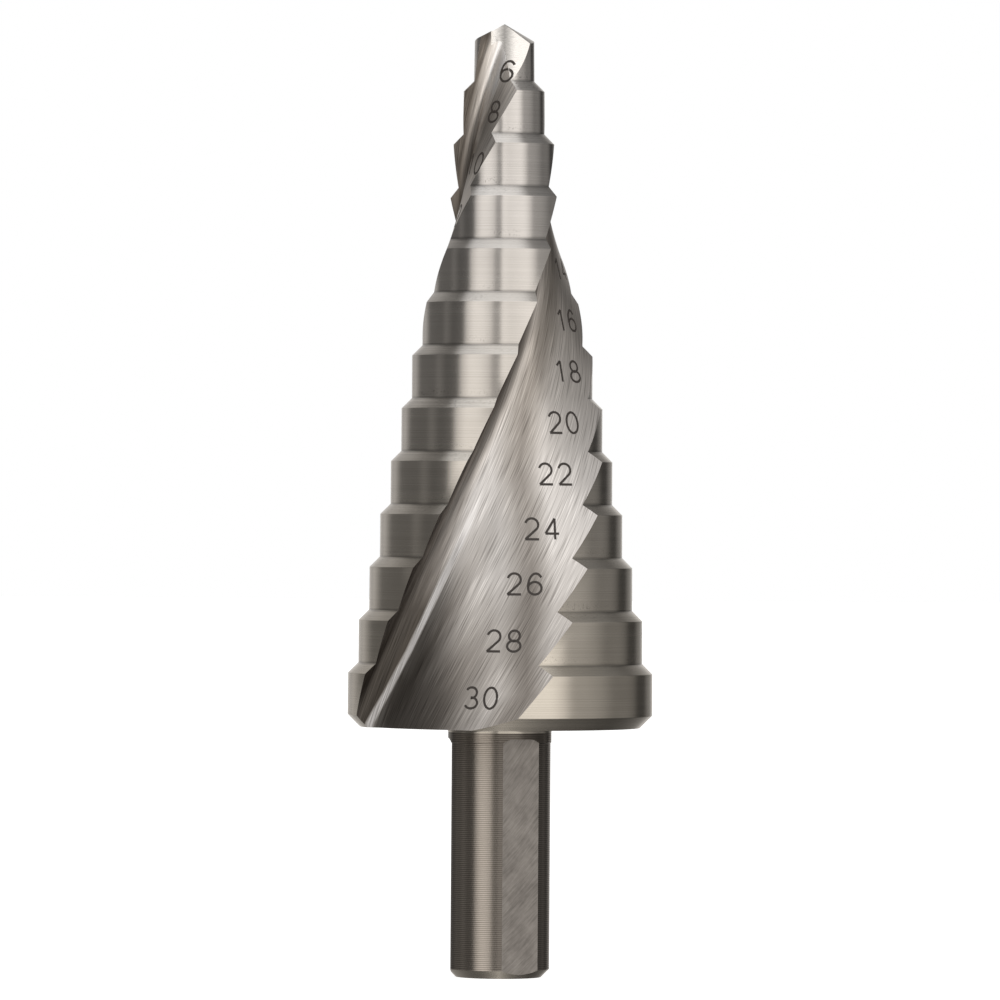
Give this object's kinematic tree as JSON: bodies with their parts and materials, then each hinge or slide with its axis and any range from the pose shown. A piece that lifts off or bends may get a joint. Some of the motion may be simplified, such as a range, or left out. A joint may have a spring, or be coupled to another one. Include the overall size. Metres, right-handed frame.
{
  "type": "step drill",
  "caption": "Conical step drill with spiral flutes, stepped cutting lands, a short pilot point and a round shank with flats.",
  "frame": {"origin": "centre of the shank's end face, which the drill stands on", "axes": "+Z along the drill's axis, from the shank's end towards the point; -Y faces the viewer of the picture"},
  "size_m": [0.03, 0.0298, 0.0935],
  "materials": {
    "ground_steel": "bright ground high-speed steel with fine turning and grinding lines"
  },
  "bodies": {
    "root": {"step_drill": "ground_steel"}
  },
  "joints": []
}
